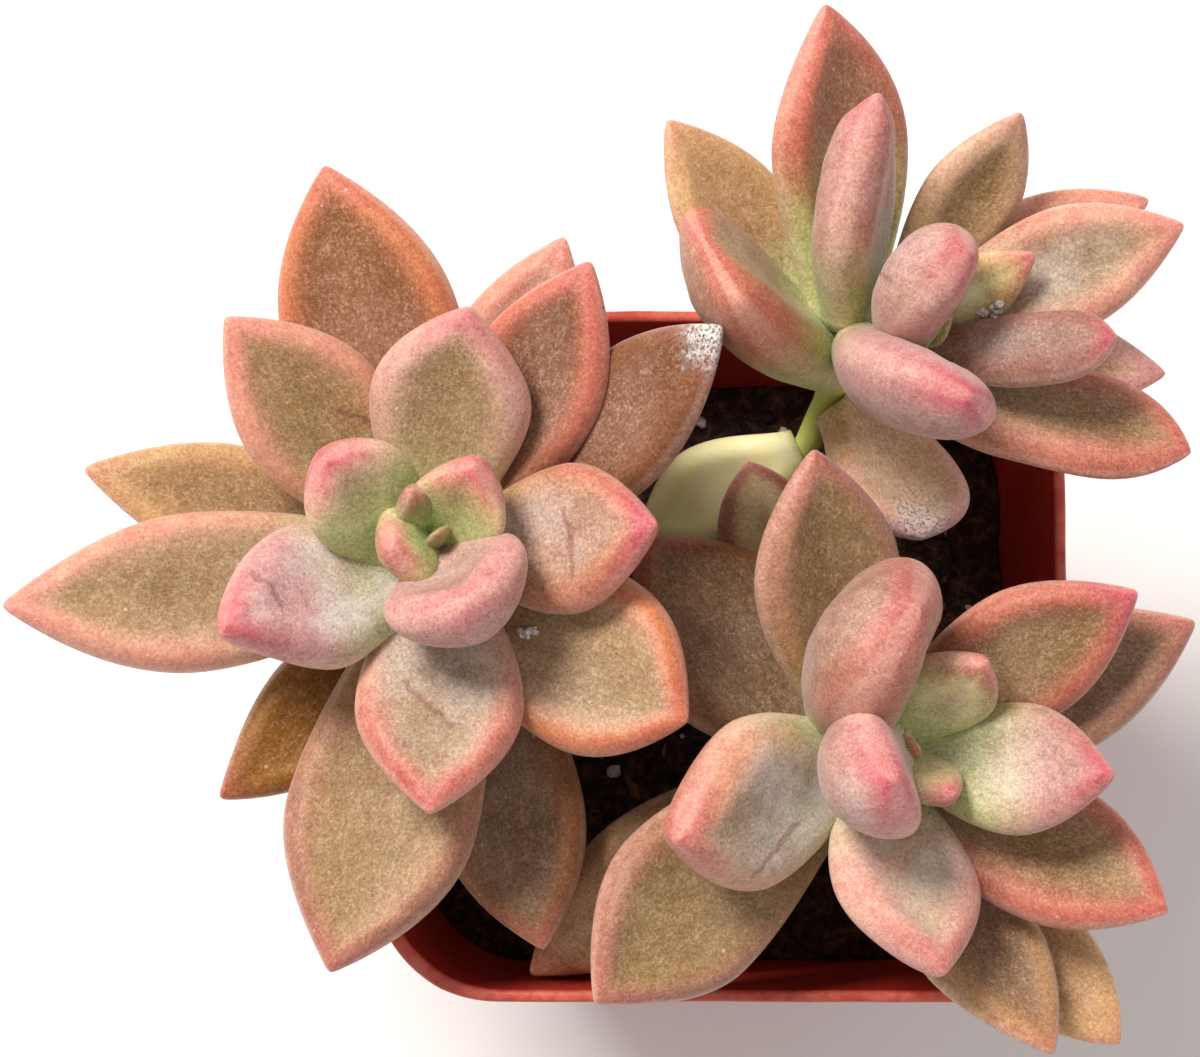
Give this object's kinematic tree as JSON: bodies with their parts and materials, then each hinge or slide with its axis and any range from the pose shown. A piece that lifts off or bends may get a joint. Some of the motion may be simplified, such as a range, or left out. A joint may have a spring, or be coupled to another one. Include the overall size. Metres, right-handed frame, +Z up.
{
  "type": "potted ghost plant",
  "caption": "Rosette succulent with thick pointed waxy leaves on short stems, growing in a small square tapered nursery pot of dark potting mix.",
  "frame": {"origin": "middle of the pot's flat base, on the surface that the pot stands on", "axes": "+Z up; +X to the right and +Y away from the viewer as the pot is seen in the picture, along the pot's flat sides"},
  "size_m": [0.1045, 0.0903, 0.0911],
  "materials": {
    "pot": "satin, as moulded",
    "soil": "rough and matt",
    "plant": "waxy, with a powdery bloom"
  },
  "bodies": {
    "root": {"pot": "pot", "soil": "soil", "plant_left": "plant", "plant_right": "plant", "plant_back": "plant"}
  },
  "joints": []
}
